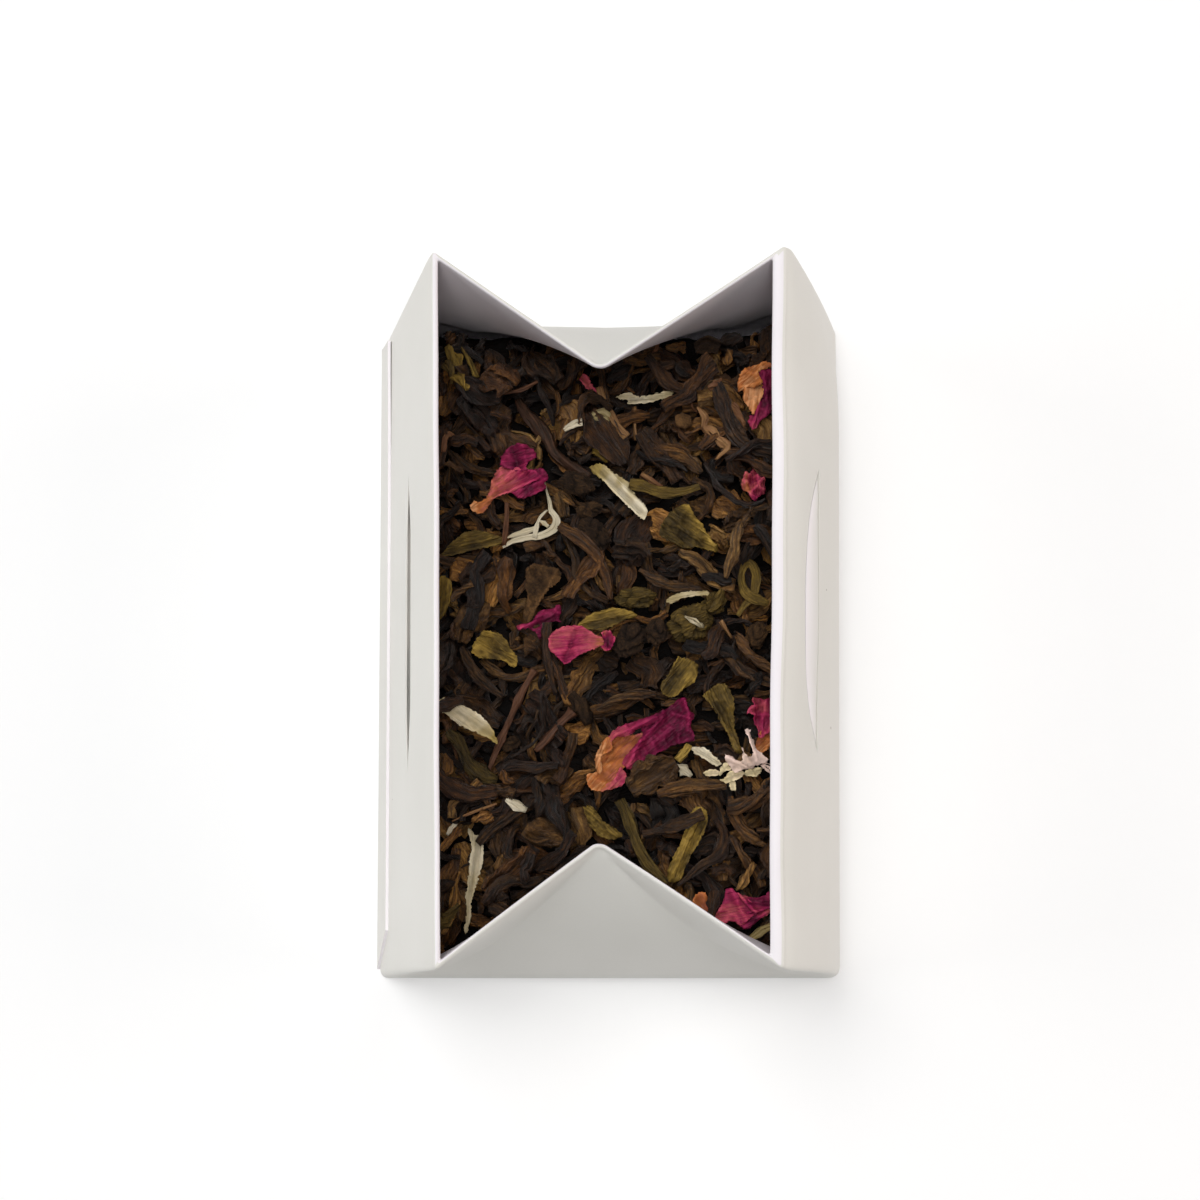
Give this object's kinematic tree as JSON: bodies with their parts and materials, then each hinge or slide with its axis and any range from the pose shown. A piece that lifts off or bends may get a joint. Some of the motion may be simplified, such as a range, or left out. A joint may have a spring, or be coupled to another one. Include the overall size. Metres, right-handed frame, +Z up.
{
  "type": "paper tea sachet",
  "caption": "Open folded card sachet with gusseted ends and a slit-and-tongue tuck closure, half full of loose tea with rose petals and blossom.",
  "frame": {"origin": "middle of the carton's underside, on the surface it stands on", "axes": "+Z up through the open mouth, +Y along the long side towards the far gusset, +X across to the panel with the tongue"},
  "size_m": [0.0704, 0.098, 0.036],
  "materials": {
    "card": "smooth white coated card",
    "black_tea": "dry twisted black tea leaf",
    "brown_leaf": "dry brown leaf and bark crumbs",
    "green_leaf": "dry green tea leaf",
    "stalk": "dry stalk",
    "white_petal": "dry white blossom petal",
    "rose_petal": "dry rose petal"
  },
  "bodies": {
    "root": {"black_leaf_1": "black_tea", "black_leaf_10": "black_tea", "black_leaf_11": "black_tea", "black_leaf_12": "black_tea", "black_leaf_2": "black_tea", "black_leaf_3": "black_tea", "black_leaf_4": "black_tea", "black_leaf_5": "black_tea", "black_leaf_6": "black_tea", "black_leaf_7": "black_tea", "black_leaf_8": "black_tea", "black_leaf_9": "black_tea", "brown_nugget_1": "brown_leaf", "brown_nugget_2": "brown_leaf", "brown_nugget_3": "brown_leaf", "brown_nugget_4": "brown_leaf", "folded_carton": "card", "green_leaf_1": "green_leaf", "green_leaf_10": "green_leaf", "green_leaf_11": "green_leaf", "green_leaf_2": "green_leaf", "green_leaf_3": "green_leaf", "green_leaf_4": "green_leaf", "green_leaf_5": "green_leaf", "green_leaf_6": "green_leaf", "green_leaf_7": "green_leaf", "green_leaf_8": "green_leaf", "green_leaf_9": "green_leaf", "green_nugget_1": "green_leaf", "green_nugget_2": "green_leaf", "green_twist_1": "green_leaf", "green_twist_2": "green_leaf", "loose_tea": "black_tea", "rose_petal_1": "rose_petal", "rose_petal_2": "rose_petal", "rose_petal_3": "rose_petal", "rose_petal_4": "rose_petal", "rose_petal_5": "rose_petal", "rose_petal_6": "rose_petal", "rose_petal_7": "rose_petal", "rose_petal_8": "rose_petal", "rose_petal_9": "rose_petal", "stalk_1": "stalk", "stalk_2": "stalk", "stalk_3": "stalk", "white_floret_1": "white_petal", "white_floret_2": "white_petal", "white_petal_1": "white_petal", "white_petal_2": "white_petal", "white_petal_3": "white_petal", "white_petal_4": "white_petal", "white_petal_5": "white_petal", "white_petal_6": "white_petal"}
  },
  "joints": []
}
